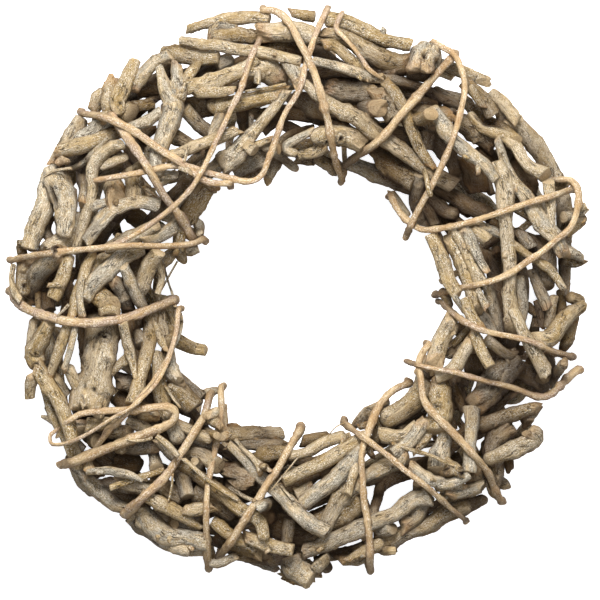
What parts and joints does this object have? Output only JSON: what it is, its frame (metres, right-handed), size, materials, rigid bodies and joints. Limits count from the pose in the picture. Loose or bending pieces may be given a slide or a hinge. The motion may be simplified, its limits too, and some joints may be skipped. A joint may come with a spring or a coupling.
{
  "type": "rattan wreath",
  "caption": "Open round wreath of short weathered branch pieces, laid along the ring and lashed with thin vine; lies flat or hangs on a wall.",
  "frame": {"origin": "middle of the wreath's outline, on the surface it lies on", "axes": "+Z out of the front face, +Y towards the top of the wreath as it hangs"},
  "size_m": [0.4096, 0.4111, 0.0991],
  "materials": {
    "branch": "weathered bark, grey-beige with a whitish bloom, matte",
    "vine": "peeled rattan vine, warm tan, smooth and dull"
  },
  "bodies": {
    "root": {"branches_01_a": "branch", "branches_02_a": "branch", "branches_02_b": "branch", "branches_02_c": "branch", "branches_03_a": "branch", "branches_03_b": "branch", "branches_03_c": "branch", "branches_04_a": "branch", "branches_05_a": "branch", "branches_05_b": "branch", "branches_05_c": "branch", "branches_05_d": "branch", "branches_06_a": "branch", "branches_06_b": "branch", "branches_07_a": "branch", "branches_07_b": "branch", "branches_08_a": "branch", "branches_08_b": "branch", "branches_08_c": "branch", "branches_08_d": "branch", "branches_08_e": "branch", "branches_08_f": "branch", "branches_09_a": "branch", "branches_09_b": "branch", "branches_09_c": "branch", "branches_09_d": "branch", "branches_10_a": "branch", "branches_10_b": "branch", "branches_11_a": "branch", "branches_11_b": "branch", "branches_11_c": "branch", "branches_11_d": "branch", "branches_12_a": "branch", "branches_12_b": "branch", "branches_12_c": "branch", "branches_12_d": "branch", "vine_01_a": "vine", "vine_01_b": "vine", "vine_02_a": "vine", "vine_02_b": "vine", "vine_03_a": "vine", "vine_03_b": "vine", "vine_04_a": "vine", "vine_05_a": "vine", "vine_05_b": "vine", "vine_06_a": "vine", "vine_07_a": "vine", "vine_07_b": "vine", "vine_08_a": "vine", "vine_08_b": "vine", "vine_08_c": "vine", "vine_09_a": "vine", "vine_09_b": "vine", "vine_10_a": "vine", "vine_10_b": "vine", "vine_10_c": "vine", "vine_12_a": "vine", "vine_12_b": "vine", "vine_12_c": "vine"}
  },
  "joints": []
}
